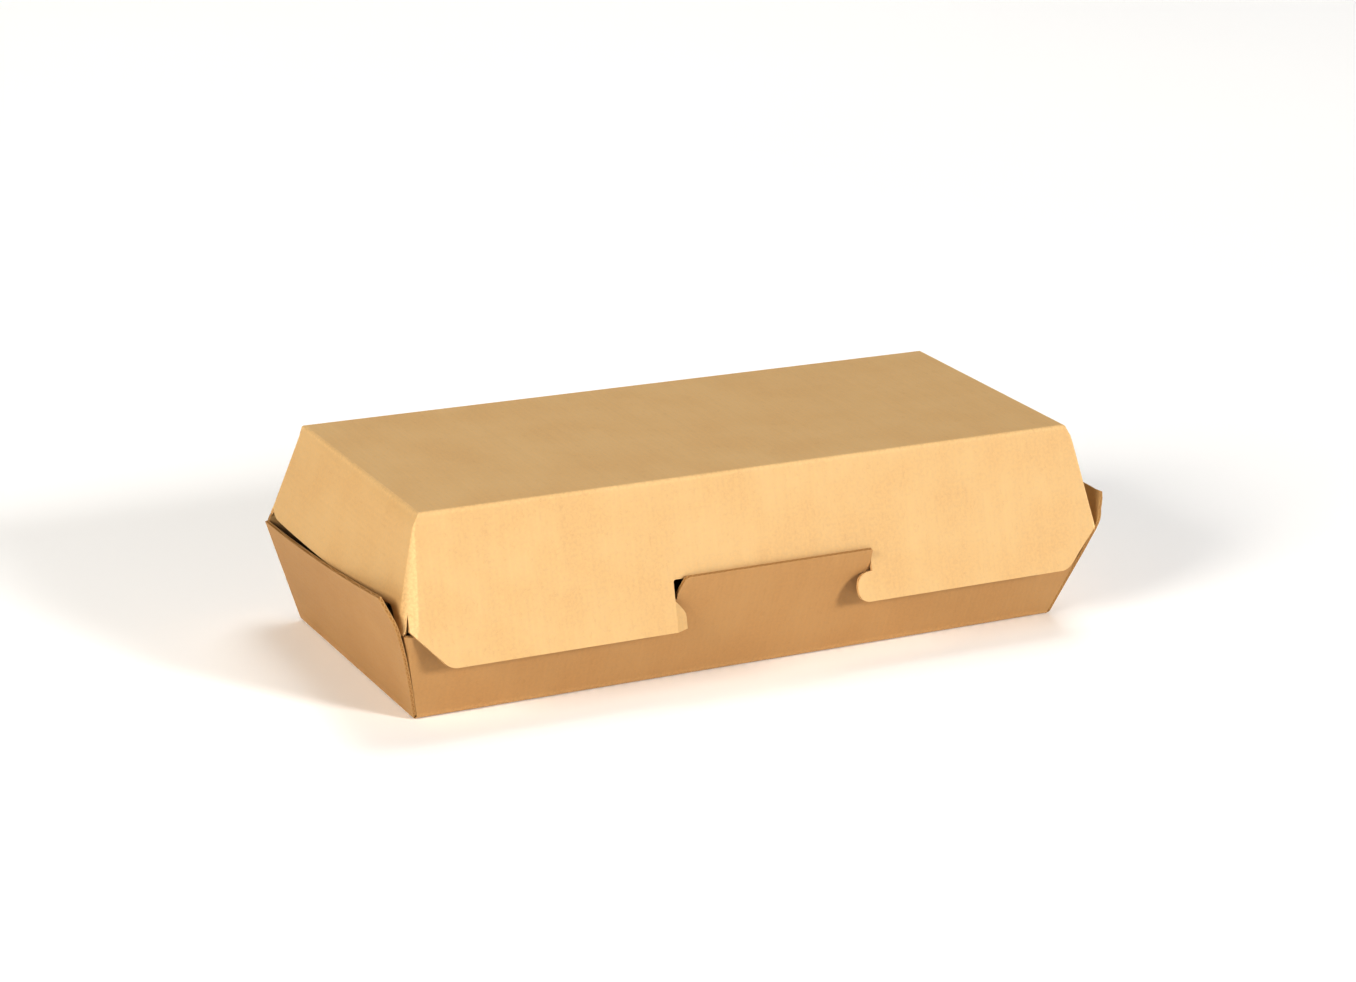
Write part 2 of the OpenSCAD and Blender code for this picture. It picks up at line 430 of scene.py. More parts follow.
@dataclass
class Tray:
    """The lower half of the sheet: floor, four walls, glued flaps inside the corners, and the tongue.

    Attributes:
        sizes: Sizes shared with the lid.
        rim: Height of the front wall's rim, and of the upper edges of the glued flaps.
        corner: Full radius of the upright corners, which they have at the rim.
        corner_lift: Rise of the front wall's rim beside its corners.
        tongue_left: Place of the tongue's left side at its root.
        tongue_right: Place of the tongue's right side at its root.
        tongue_top: Height of the tongue.
        tongue_corners: Radius of the tongue's left and right upper corner.
        left_shoulder: How far the tongue's left side slants in.
        right_shoulder: How far the tongue's right side slants in.
        tongue_bend: Run of the tongue inwards from the wall's plane, for each unit of height.
        crease_gap: Height below the crease at which the hinge strip takes over from the back wall.
        glue_length: Length of the glued flaps at the floor.
        springs: How far the left and the right end wall spring out at the front.
        spring_hold: How far an end wall still springs out at the hinge.
        rim_shape: The end walls' rim: its height in the middle, its slope, and its curvature.
        rim_fuller: How much higher the right rim stands over its front half.
        rim_front: Height of the end walls' rim at its front corner.
        rim_radius: Radius of that front corner.
        cut: Knots of the end walls' front cut edge, each a height and a place in Y.
    """

    sizes: Sizes
    rim: float = 31.3
    corner: float = 1.3
    corner_lift: float = 1.3
    tongue_left: float = -33.5
    tongue_right: float = 39.3
    tongue_top: float = 39.3
    tongue_corners: tuple[float, float] = (1.5, 0.5)
    left_shoulder: float = 2.1
    right_shoulder: float = 0.25
    tongue_bend: float = 0.03
    crease_gap: float = 1.5
    glue_length: float = 17.0
    springs: tuple[float, float] = (1.2, 1.5)
    spring_hold: float = 0.02
    rim_shape: tuple[float, float, float] = (37.1, -0.111, 0.00075)
    rim_fuller: float = 2.0
    rim_front: float = 44.6
    rim_radius: float = 1.2
    cut: tuple[tuple[float, float], ...] = (
        (0.0, -45.8), (1.1, -46.55), (8.0, -48.72), (14.0, -50.55), (19.2, -52.1), (24.0, -53.4),
        (27.0, -54.1), (30.0, -54.7), (33.0, -55.4), (35.5, -55.6), (36.8, -55.4), (38.0, -54.8),
        (40.0, -53.3), (41.7, -51.6), (43.0, -50.7), (44.6, -50.2),
    )

    def __post_init__(self) -> None:
        """Works out the folds from the shared sizes."""
        s = self.sizes
        self.side = Fold(s.half_width, s.side_lean)
        self.end = Fold(s.half_length, s.tray_end_lean)
        self.board = Board("tray_sheet", s.thickness)

    def inner_reach(self, z: Array) -> Array:
        """Distance from the middle to the inner faces of the end walls, where the glued flaps lie."""
        z = np.asarray(z, float)
        tucked = (self.sizes.slant(self.sizes.tray_end_lean) + self.sizes.glue) * smooth(z, 0.0, 1.3)
        return self.end.reach(z) - tucked + self.flare(z, np.full_like(z, -45.0)) * 0.25

    def flare(self, z: Array, y: Array, end: End = End.LEFT) -> Array:
        """How far an end wall is sprung outwards: relative height to the power 2.5, times a line in y.

        The fold holds it at the floor. Free of the corner at the front it springs out, the right
        one further, and the hinge holds it in at the back, 106 mm behind.
        """
        z = np.maximum(np.asarray(z, float), 0.0)
        free = of_end(self.springs, end)
        return (z / CREASE_HEIGHT) ** 2.5 * (free - (free - self.spring_hold) / 106.0 * (y + 51.0))

    def wall(self, side: Side) -> None:
        """Adds the front or the back wall with its two half corners, and the glued flaps beyond them.

        The corners are all but sharp up to half height and open to their full radius at the rim. The
        front wall's rim rises over the last 9 mm beside each corner.
        """
        s = self.sizes
        top = self.rim if side is Side.FRONT else s.crease_height - self.crease_gap
        z = np.concatenate([self.side.rows(), spaced((1.35, 0), (20.0, 8), (28.8, 5), (self.rim, 3))])
        if side is Side.BACK:
            z = np.append(z, [top - 0.9, top])
        radius = SHARP + 0.1 * smooth(z, 0.0, 1.3) + (self.corner - 0.12) * smooth(z, 18.0, 29.0)
        curl = np.ones_like(z) if side is Side.FRONT else 1.0 - smooth(z, self.rim, top + 0.5)
        reach, depth = self.inner_reach(z), self.side.reach(z)
        share = np.linspace(0.0, 1.0, 5)
        bend_x, bend_y = corner_strip(reach, depth, radius, curl, share)
        straight = self.straight_columns(float(reach[-1] - radius[-1]), side)
        x = straight[None, :] * ((reach - radius) / (reach[-1] - radius[-1]))[:, None]
        x = np.concatenate([-bend_x[:, :0:-1], x, bend_x[:, 1:]], 1)
        y = np.concatenate([bend_y[:, :0:-1], spread(depth, len(straight)), bend_y[:, 1:]], 1)
        flat_x = self.unrolled(x, reach, radius, share, len(straight))
        flat_y = spread(self.side.run(z), x.shape[1])
        heights = spread(z, x.shape[1])
        if side is Side.FRONT:
            corner = reach[-1] - radius[-1]
            lift = self.corner_lift * smooth(np.abs(x[-1]), corner - 9.0, corner - 1.0)
            x[-1], y[-1] = self.lifted(x[-1], y[-1], lift, np.sign(x[-1]))
            heights[-1] += lift
        self.board.add(self.patch(x, side.value * y, heights, flat_x, side.value * flat_y))
        glued = (z >= 1.34) & (z <= self.rim + 1e-6)
        rows = [values[glued] for values in (z, reach, depth, radius, self.side.run(z))]
        for end in End:
            self.glued_flap(side, end, *rows)

    def lifted(self, x: Array, y: Array, lift: Array, way: Array | float) -> tuple[Array, Array]:
        """Moves points of the rim outwards as both leans carry them when they rise by lift."""
        return x + way * self.sizes.tray_end_lean * lift, y + self.sizes.side_lean * lift

    def straight_columns(self, limit: float, side: Side) -> Array:
        """Places of the columns along a wall's rim, with one at each end of the tongue's root."""
        if side is Side.BACK:
            return spaced((-limit, 0), (limit, 24))
        return spaced((-limit, 0), (self.tongue_left, 10), (self.tongue_right, 16), (limit, 10))

    def unrolled(self, x: Array, reach: Array, radius: Array, share: Array, straight: int) -> Array:
        """Flat place along the box: x itself on the wall, and the length of the bend beyond it."""
        flat = x.copy()
        strip = (reach - radius)[:, None] + np.pi / 4.0 * radius[:, None] * share[None, 1:]
        flat[:, : len(share) - 1] = -strip[:, ::-1]
        flat[:, len(share) - 1 + straight:] = strip
        return flat

    def glued_flap(
        self, side: Side, end: End, z: Array, reach: Array, depth: Array, radius: Array, run: Array
    ) -> None:
        """Adds a flap that turns round the corner from a wall and lies glued inside the end wall.

        Args:
            side: Wall that it belongs to.
            end: End of the box.
            z: Heights of its rows.
            reach: Distance of its plane from the middle, for each row.
            depth: Distance of the wall's outer face from the middle, for each row.
            radius: Radius of the corner, for each row.
            run: Flat distance of each row.
        """
        share = np.linspace(1.0, 0.0, 5)
        along, across = corner_strip(depth, reach, radius, np.ones_like(z), share)
        rounding = 3.0 * smooth(z, self.rim - 3.0, self.rim) ** 2
        length = self.glue_length * (1.0 - 0.25 * z / self.rim) - rounding
        root = (depth - radius)[:, None]
        step = np.linspace(0.0, 1.0, 7)[None, 1:]
        y = np.concatenate([along, root - length[:, None] * step], 1)
        x = np.concatenate([across, spread(reach, 6)], 1)
        bend = (reach - radius)[:, None] + np.pi / 4.0 * radius[:, None] * (2.0 - share[None, :])
        flat_x = np.concatenate([bend, bend[:, -1:] + length[:, None] * step], 1)
        flat_y = spread(run, x.shape[1])
        heights = spread(z, x.shape[1])
        if side is Side.FRONT:
            x[-1], y[-1] = self.lifted(x[-1], y[-1], np.full(x.shape[1], self.corner_lift), 1.0)
            heights[-1] += self.corner_lift
        x, y, flat_x, flat_y = end.value * x, side.value * y, end.value * flat_x, side.value * flat_y
        self.board.add(self.patch(x, y, heights, flat_x, flat_y))

    def patch(self, x: Array, y: Array, z: Array, flat_x: Array, flat_y: Array) -> Patch:
        """Makes a patch from rows at fixed heights, with the floor's crease weighted by height."""
        heights = spread(z, x.shape[1]) if z.ndim == 1 else z
        crease = 1.0 - smooth(heights, *WEAR_AND_HIGHLIGHT_BAND)
        return Patch(np.stack([x, y, heights], -1), np.stack([flat_x, flat_y], -1), crease)

    def floor(self) -> None:
        """Adds the floor: a flat grid between the four creases."""
        limit_x, limit_y = float(self.end.reach(0.0)), float(self.side.reach(0.0))
        rim = np.array([self.rim])
        front = self.straight_columns(float(self.inner_reach(rim)[0]) - self.corner, Side.FRONT)
        strip = limit_x - SHARP + np.sin(np.pi / 4.0 * np.linspace(0.0, 1.0, 5)[1:]) * SHARP
        columns = np.concatenate([-strip[::-1], front / front[-1] * (limit_x - SHARP), strip])
        rows = np.linspace(-limit_y, limit_y, 15)
        x, y = np.meshgrid(columns, rows)
        crease = np.zeros_like(x)
        crease[[0, -1]] = 1.0
        self.board.add(Patch(np.stack([x, y, np.zeros_like(x)], -1), np.stack([x, y], -1), crease))

    def end_wall(self, end: End) -> None:
        """Adds an end wall: rows from its crease to its rim, columns between its front and back cut edges.

        The front edge follows the corner closely past half height and then draws back from it, at the
        left end more than at the right. The rim is a parabola in y. The height of a row is the same
        share of the rim's height, and the face leans out by the lean times the height plus the flare.
        The first five rows lie at the bend's own heights, whatever the height of the rim.
        """
        share = np.concatenate([[0.0], self.end.rows(4)[1:] / 38.0, spaced((0.05, 0), (1.0, 26))])
        across = np.linspace(0.0, 1.0, 31)
        heights = self.rim_height(np.linspace(-50.0, 56.0, 31), end)
        z_line = share[:, None] * heights[None, :]
        z_line[: 5] = np.concatenate([[0.0], self.end.rows(4)[1:]])[:, None]
        knots = np.array(self.cut)
        front = np.interp(z_line[:, 0], knots[:, 0], knots[:, 1])
        if end is End.RIGHT:
            front = front - 1.4 * smooth(z_line[:, 0], 39.0, 42.5)
        drop = blunt(z_line[:, 0] - (self.rim_front - self.rim_radius), 0.01)
        drop = np.minimum(drop, self.rim_radius - 0.01)
        front = front + self.rim_radius - np.sqrt(self.rim_radius**2 - drop**2)
        back = self.side.reach(z_line[:, -1]) - 0.35 * smooth(z_line[:, -1], 0.0, 1.2)
        y = front[:, None] * (1.0 - across[None, :]) + back[:, None] * across[None, :]
        z = np.minimum(z_line, self.rim_height(y, end))
        z = np.where(np.arange(len(share))[:, None] == len(share) - 1, self.rim_height(y, end), z)
        x = self.end.reach(z) + self.flare(z, y, end)
        flat_x = self.end.run(z)
        crease = 1.0 - smooth(z, *WEAR_AND_HIGHLIGHT_BAND)
        points = np.stack([end.value * x, y, z], -1)
        self.board.add(Patch(points, np.stack([end.value * flat_x, y], -1), crease))

    def rim_height(self, y: Array, end: End) -> Array:
        """Height of an end wall's rim: a parabola that climbs from the hinge to the front.

        The right rim stands a little fuller over its front half.
        """
        y = np.asarray(y, float)
        middle, slope, curvature = self.rim_shape
        swell = self.rim_fuller * smooth(y, -51.0, -38.0) * (1.0 - smooth(y, -38.0, 25.0))
        fuller = swell if end is End.RIGHT else 0.0
        return middle + slope * y + curvature * y * y + fuller

    def tongue(self) -> None:
        """Adds the tongue: the front wall carried on above its rim in nearly the same plane.

        Its sides slant in towards the top, where quarter circles round them off.
        """
        z = spaced((self.rim, 0), (37.4, 6), (38.3, 2), (38.9, 3), (39.2, 2), (self.tongue_top, 1))
        share = (z - self.rim) / (self.tongue_top - self.rim)
        sides = []
        for radius in self.tongue_corners:
            lift = np.clip(z - (self.tongue_top - radius), 0.0, radius)
            sides.append(radius - np.sqrt(np.maximum(radius**2 - lift**2, 0.0)))
        left = self.tongue_left + self.left_shoulder * np.clip(share * 1.4 - 0.4, 0.0, 1.0) + sides[0]
        right = self.tongue_right - self.right_shoulder * share - sides[1]
        across = np.linspace(0.0, 1.0, 17)
        x = left[:, None] * (1.0 - across) + right[:, None] * across
        bend = self.tongue_bend * (z - self.rim) * smooth(z, self.rim, self.rim + 3.0)
        y = -spread(self.side.reach(z) - bend, 17)
        flat_y = -spread(self.side.run(z), 17)
        heights = spread(z, 17)
        self.board.add(Patch(np.stack([x, y, heights], -1), np.stack([x, flat_y], -1), np.zeros_like(x)))

    def build(self, finish: "KraftBoard") -> bpy.types.Object:
        """Builds and dresses the tray.

        Args:
            finish: Finish of the board.

        Returns:
            The tray's object.
        """
        for side in Side:
            self.wall(side)
        for end in End:
            self.end_wall(end)
        self.floor()
        self.tongue()
        piece = self.board.build()
        finish.dress(piece)
        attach(piece, "tray")
        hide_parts("tray")
        return piece


@dataclass
class Lid:
    """The upper half of the sheet: top panel, walls with soft corners, webs, and the flap with its notch.

    Attributes:
        sizes: Sizes shared with the tray.
        slit_top: Height at which the slit between a front corner's web and the front panel ends.
        notch_left: Place of the notch's left side, and so of the pressed-in nose's crease.
        notch_right: Place of the notch's right side.
        notch_top: Height of the notch's upper edge.
        notch_radius: Radius of the notch's upper corners.
        ear: Height at which the noses start, below the round holes beside the notch.
        nose_middle: Height at which the noses reach furthest.
        right_nose: Reach of the right nose from the notch's side.
        left_nose: Reach of the left nose.
        nose_press: Sine of the largest angle that the left nose is pressed in through.
        clearance: Space left between two boards that are not glued together.
        flap_bottom: Height of the flap's lower edge.
        flap_edges: Distance of the flap's left and right edge from the middle.
        chamfer_tops: Height at which the left and the right chamfer start.
        end_pushes: How far the left and the right end wall are pushed out at the front.
        chamfer_radius: Radius that carries a chamfer into the lower edge.
        front_corners: Full radius of the left and the right front corner.
        back_corner: Full radius of the back corners.
        crease_gap: Height above the crease at which the hinge strip takes over from the back wall.
        glue_length: Length of the glued flaps at the top panel.
        bow: How far the middle of an end wall bulges out at its lower edge.
        top_rub_and_highlight: How much the fold round the top panel is rubbed and painted with a highlight,
            from 0 to 1.
    """

    sizes: Sizes
    slit_top: float = 40.0
    notch_left: float = 35.0
    notch_right: float = 39.4
    notch_top: float = 38.3
    notch_radius: float = 0.8
    ear: float = 31.65
    nose_middle: float = 26.5
    right_nose: float = 5.9
    left_nose: float = 5.0
    nose_press: float = 0.43
    clearance: float = 0.1
    flap_bottom: float = 21.9
    flap_edges: tuple[float, float] = (128.5, 130.3)
    chamfer_tops: tuple[float, float] = (34.9, 34.85)
    end_pushes: tuple[float, float] = (1.15, 1.65)
    chamfer_radius: float = 6.0
    front_corners: tuple[float, float] = (4.8, 1.1)
    back_corner: float = 1.2
    crease_gap: float = 1.5
    glue_length: float = 15.0
    bow: float = 1.2
    top_rub_and_highlight: float = 0.55

    def __post_init__(self) -> None:
        """Works out the folds from the shared sizes."""
        s = self.sizes
        self.side = Fold(s.half_width, s.side_lean, 1.0)
        self.end = Fold(s.half_length, s.lid_end_lean, 1.0)
        self.board = Board("lid_sheet", s.thickness)

    def down(self, z: Array) -> Array:
        """Distance below the top panel."""
        return self.sizes.height - np.asarray(z, float)

    def radius(self, z: Array, side: Side, end: End) -> Array:
        """Radius of an upright corner: almost none at the top panel, and full below it.

        The left front corner is a soft cone down to the slit, and the other three are full 5 mm down.
        """
        down = self.down(z)
        full = self.back_corner if side is Side.BACK else of_end(self.front_corners, end)
        cone = side is Side.FRONT and end is End.LEFT
        rise = np.clip(down / float(self.down(self.slit_top)), 0.0, 1.0) if cone else smooth(down, 0.0, 5.0)
        return 0.05 + (full - 0.05) * rise

    def plane(self, z: Array, side: Side, end: End) -> Array:
        """Distance of an end wall's outer face from the middle, beside the front or the back corner.

        At the front the shut lid is pushed out by the tray's board inside it: more with depth over
        the first 5 mm, and a little less again below the slit's top.
        """
        down = self.down(z)
        if side is Side.BACK:
            return self.end.reach(down) + 0.1 * smooth(down, 0.0, 5.0)
        push = of_end(self.end_pushes, end)
        return self.end.reach(down) + push * smooth(down, 0.0, 5.0) - 0.3 * smooth(down, 29.4, 36.4)

    def outer(self, z: Array, side: Side, end: End) -> Array:
        """Where the planes of a long wall and an end wall meet, and below the slit the flap's own edge."""
        plane = self.plane(z, side, end)
        if side is Side.BACK:
            return plane
        crease = np.array([self.sizes.crease_height])
        strip = self.radius(z, side, end) * (1.0 - math.pi / 4.0)
        last = self.radius(crease, side, end) * (1.0 - math.pi / 4.0)
        slack = float((self.flap_side(crease, end) + last - self.plane(crease, side, end))[0])
        joined = plane + slack * smooth(self.down(z), self.down(self.slit_top), self.down(crease[0]))
        return np.where(z < crease, self.flap_side(z, end) + strip, joined)

    def curl(self, z: Array) -> Array:
        """Share of a corner's bend left in a long wall: all above the slit's top, none at the crease."""
        return smooth(z, self.sizes.crease_height + 0.5, self.slit_top)

    def corner(self, z: Array, side: Side, end: End) -> tuple[Array, Array]:
        """The half corner that belongs to a long wall, as distances along and across it."""
        outer, depth = self.outer(z, side, end), self.side.reach(self.down(z))
        return corner_strip(outer, depth, self.radius(z, side, end), self.curl(z), BEND)

    def unrolled(self, z: Array, side: Side, end: End) -> Array:
        """Flat distance from the middle of the columns of a half corner."""
        radius = self.radius(z, side, end)
        return (self.outer(z, side, end) - radius)[:, None] + np.pi / 4.0 * radius[:, None] * BEND[None, :]

    def columns(self) -> Array:
        """Places of the front panel's straight columns at the notch's top, which has one at each side."""
        z = np.array([self.notch_top])
        left, right = (float(self.unrolled(z, Side.FRONT, end)[0, 0]) for end in End)
        return spaced((-left, 0), (self.notch_radius - self.notch_left, 12),
                      (self.notch_right - self.notch_radius, 16), (right, 12))

    def column_share(self) -> Array:
        """Place of each straight column as a share of the front panel's straight length."""
        columns = self.columns()
        return (columns - columns[0]) / (columns[-1] - columns[0])

    @staticmethod
    def end_share() -> Array:
        """Place of each straight column of an end wall as a share of its length, close by the web."""
        return spaced((0.0, 0), (0.11, 13), (0.2, 5), (0.9, 16), (1.0, 8))

    def wall_rows(self, bottom: float) -> Array:
        """Heights of the four walls' rows from the top panel down to the slit, and on to a bottom."""
        down = np.concatenate([self.end.rows(), spaced((1.1, 0), (4.0, 5), (self.down(self.slit_top), 12))])
        z = self.sizes.height - down
        if bottom < self.slit_top:
            z = np.concatenate([z, spaced((self.slit_top, 0), (bottom, 3))[1:]])
        return z

    def add_rows(self, x: Array, y: Array, z: Array, flat_x: Array, flat_y: Array) -> None:
        """Adds a patch from rows at fixed heights, or from a grid of heights, paler along its folds.

        The paler folds are rubbed paper and painted highlight: the fold along the top a little, 2 mm wide,
        and the upright ones over their bends.
        """
        heights = spread(z, x.shape[1]) if z.ndim == 1 else z
        down = self.down(heights)
        crease = self.top_rub_and_highlight * (1.0 - smooth(down, *WEAR_AND_HIGHLIGHT_BAND))
        for side, end in itertools.product(Side, End):
            radius = self.radius(heights, side, end)
            along = self.plane(heights, side, end) - end.value * x
            across = self.side.reach(down) - side.value * y
            bend = smooth(radius - along, -0.3, 0.5) * smooth(radius - across, -0.3, 0.5)
            crease = np.maximum(crease, bend)
        flat = np.stack([flat_x, flat_y + LID_START], -1)
        self.board.add(Patch(np.stack([x, y, heights], -1), flat, crease))

    def long_wall(self, side: Side) -> None:
        """Adds the front panel down to the notch, or the back wall down to the crease strip."""
        strip_top = self.sizes.crease_height + self.crease_gap
        z = self.wall_rows(self.notch_top if side is Side.FRONT else strip_top)
        down, share = self.down(z), self.column_share()
        (left_x, left_y), (right_x, right_y) = (self.corner(z, side, end) for end in End)
        flat_left, flat_right = (self.unrolled(z, side, end) for end in End)
        x = -left_x[:, :1] * (1.0 - share) + right_x[:, :1] * share
        depth = spread(self.side.reach(down), len(share))
        flat_x = np.concatenate([-flat_left[:, :0:-1], x, flat_right[:, 1:]], 1)
        x = np.concatenate([-left_x[:, :0:-1], x, right_x[:, 1:]], 1)
        y = np.concatenate([left_y[:, :0:-1], depth, right_y[:, 1:]], 1)
        flat_y = spread(self.side.run(down), x.shape[1])
        self.add_rows(x, side.value * y, z, flat_x, side.value * flat_y)

    def ear_rows(self) -> Array:
        """Heights of the flap's rows, close together where its outline turns quickly."""
        return np.array([
            self.notch_top, 38.25, 38.15, 38.0, 37.8, self.notch_top - self.notch_radius, 36.5, 35.4,
            34.95, self.sizes.crease_height, 34.5, 34.2, 33.8, 33.2, 32.5, 31.9,
            self.ear, 31.64, 31.6, 31.5, 31.3, 31.0, 30.5, 29.8, 28.8, 28.1, 27.6, 27.3, 27.0,
            self.nose_middle, 25.4, 24.5, 23.66, 23.1, 22.6, 22.3, 22.05, 21.95, self.flap_bottom,
        ])

    def nose_reach(self, z: Array, end: End) -> Array:
        """Reach of a nose below its ear.

        The right nose's is one less the relative height to the power 2.5, to the power 0.4. The left
        one has a slanted upper edge, one less the part still to fall to the power 1.3, and a square
        lower corner.
        """
        if end is End.LEFT:
            return self.left_nose * (1.0 - np.clip(1.0 - (self.ear - 0.06 - z) / 5.4, 0.0, 1.0) ** 1.3)
        above, below = self.ear - self.nose_middle, self.nose_middle - self.flap_bottom + 0.15
        half = np.where(z > self.nose_middle, above, below)
        share = np.clip(np.abs(z - self.nose_middle) / half, 0.0, 1.0)
        return self.right_nose * (1.0 - share**2.5) ** 0.4

    def flap_side(self, z: Array, end: End) -> Array:
        """Distance of the flap's outer edge from the middle.

        It is the panel's side, a chamfer of 45 degrees, and a circle that carries it into the lower edge.
        """
        edge, top = of_end(self.flap_edges, end), of_end(self.chamfer_tops, end)
        line = edge - blunt(top - z, 0.3)
        tangent = self.chamfer_radius * math.tan(math.pi / 8.0)
        foot = edge - (top - self.flap_bottom) - tangent
        lift = np.clip(self.flap_bottom + self.chamfer_radius - z, 0.0, self.chamfer_radius)
        circle = foot + np.sqrt(self.chamfer_radius**2 - lift**2)
        turned = z < self.flap_bottom + tangent * math.sin(math.pi / 4.0)
        return np.where(turned, np.minimum(circle, line), line)

    def ear_patch(self, end: End) -> None:
        """Adds the part of the flap on one side of the notch.

        Rows run between the flap's outer edge and the notch's side, which a quarter circle rounds at
        the top and a nose widens at the bottom. The left nose is pressed in along the notch's side:
        the sine of its angle is the room before the tray's wall over its reach, up to nose_press.
        """
        z = self.ear_rows()
        depth = self.side.reach(self.down(z))
        bend_x, bend_y = self.corner(z, Side.FRONT, end)
        lift = np.clip(z - (self.notch_top - self.notch_radius), 0.0, self.notch_radius)
        fillet = self.notch_radius - np.sqrt(np.maximum(self.notch_radius**2 - lift**2, 0.0))
        inner = (self.notch_left if end is End.LEFT else self.notch_right) - fillet
        ends = np.abs(self.columns()[:13] if end is End.LEFT else self.columns()[:-14:-1])
        share = (ends[0] - ends) / (ends[0] - ends[-1])
        straight = bend_x[:, :1] * (1.0 - share) + inner[:, None] * share
        x = np.concatenate([bend_x[:, :0:-1], straight], 1)
        y = np.concatenate([bend_y[:, :0:-1], spread(depth, 13)], 1)
        flat_x = np.concatenate([self.unrolled(z, Side.FRONT, end)[:, :0:-1], straight], 1)
        rows = self.side.run(self.down(z))
        flat_y = spread(rows, x.shape[1])
        self.add_rows(end.value * x, -y, z, end.value * flat_x, -flat_y)
        low = z <= self.ear + 1e-6
        tip = np.maximum(self.nose_reach(z, end), 0.0)
        s = self.sizes
        room = depth - s.half_width - s.side_lean * z - s.slant(s.side_lean) - self.clearance
        press = self.nose_press if end is End.LEFT else 0.0
        sine = np.clip(room / np.maximum(tip, 0.01), 0.0, press)
        out = np.linspace(0.0, 1.0, 7)[None, :] * tip[:, None]
        nose_x = (inner[:, None] - out * np.sqrt(1.0 - sine**2)[:, None])[low]
        nose_y = (depth[:, None] - out * sine[:, None])[low]
        flat_y = spread(rows[low], 7)
        self.add_rows(end.value * nose_x, -nose_y, z[low], end.value * (inner[:, None] - out)[low], -flat_y)

    def end_surface(
        self, z: Array, front_turn: Array, share: Array, back_turn: Array, end: End
    ) -> tuple[Array, Array]:
        """Places points on an end wall and on its halves of the two corners.

        The wall's middle bulges out by four times share times one less share, times the square of
        the depth below the top panel, to the full bow at its lower edge.

        Args:
            z: Height of each point.
            front_turn: Angle by which the sheet has turned towards the front wall.
            share: Place between the two corners, from 0 at the front to 1 at the back.
            back_turn: Angle by which the sheet has turned towards the back wall.
            end: End of the box.

        Returns:
            Distance from the middle along X, and the place in Y.
        """
        down = self.down(z)
        depth = self.side.reach(down)
        front, back = (self.radius(z, side, end) for side in Side)
        x = self.plane(z, Side.FRONT, end) * (1.0 - share) + self.plane(z, Side.BACK, end) * share
        x = x + self.bow * (down / 33.0) ** 2 * 4.0 * share * (1.0 - share)
        x = x - front * (1.0 - np.cos(front_turn)) - back * (1.0 - np.cos(back_turn))
        y = (depth - back) * share - (depth - front) * (1.0 - share)
        return x, y - front * np.sin(front_turn) + back * np.sin(back_turn)

    def end_panel(self, end: End) -> None:
        """Adds an end wall down to the slit's top, and the strip from there to its lower edge.

        Below the slit's top a point is named by its distance along the sheet from the slit: first
        round the front corner's half, then along the wall, then round the back corner's half.
        """
        turn, straight = np.pi / 4.0 * BEND, self.end_share()
        count = len(BEND) - 1
        front_turn = np.concatenate([turn[:0:-1], np.zeros(len(straight) + count)])
        back_turn = front_turn[::-1]
        share = np.concatenate([np.zeros(count), straight, np.ones(count)])
        z = self.wall_rows(self.slit_top)
        grid = spread(z, len(share))
        x, y = self.end_surface(grid, front_turn, share, back_turn, end)
        flat_x = self.end.run(self.down(grid))
        self.add_rows(end.value * x, y, z, end.value * flat_x, y)
        slit = np.array([self.slit_top])
        front, back = (float(self.radius(slit, side, end)[0]) for side in Side)
        length = 2.0 * float(self.side.reach(self.down(slit))[0]) - front - back
        lap = np.pi / 4.0 * front
        along = (np.pi / 4.0 - front_turn) * front + share * length + back_turn * back
        low, foot = self.lower_edge(along)
        rows = np.linspace(0.0, 1.0, 9)[:, None]
        along = along * (1.0 - rows) + low * rows
        z = self.slit_top * (1.0 - rows) + foot * rows
        front_turn = np.clip(lap - along, 0.0, lap) / front
        back_turn = np.clip(along - lap - length, 0.0, None) / back
        x, y = self.end_surface(z, front_turn, np.clip((along - lap) / length, 0.0, 1.0), back_turn, end)
        self.add_rows(end.value * x, y, z, end.value * self.end.run(self.down(z)), y)

    @staticmethod
    def lower_edge(along: Array) -> tuple[Array, Array]:
        """The end wall's lower outline, read off a line of knots.

        The line drops along the slit to the web's rounded tip, climbs to the wall's own edge,
        follows it to the back and rounds its rear corner.

        Args:
            along: Distance of each column from the slit, at the slit's top.

        Returns:
            Distance from the slit, and height, of the outline at each column.
        """
        last = float(along[-1])
        start, low, foot = np.array([
            (0.0, 0.0, 40.0), (0.1, 0.15, 37.4), (0.28, 0.3, 35.2), (0.55, 0.6, 33.9), (0.9, 1.2, 33.15),
            (1.4, 2.0, 32.87), (2.1, 3.1, 32.87), (2.9, 4.0, 33.25), (3.9, 5.1, 34.25), (5.4, 6.6, 35.8),
            (7.3, 8.1, 38.0), (8.6, 9.1, 39.1), (10.2, 10.2, 39.6), (12.5, 12.5, 39.35), (18.5, 18.5, 38.7),
            (27.0, 27.0, 37.7), (55.0, 55.0, 36.6), (85.0, 85.0, 36.1), (last - 8.5, last - 8.7, 35.9),
            (last - 6.0, last - 6.3, 36.0), (last - 3.6, last - 3.9, 36.6), (last - 1.8, last - 2.0, 37.6),
            (last - 0.7, last - 0.8, 38.8), (last, last, 40.0),
        ]).T
        return np.interp(along, start, low), np.interp(along, start, foot)

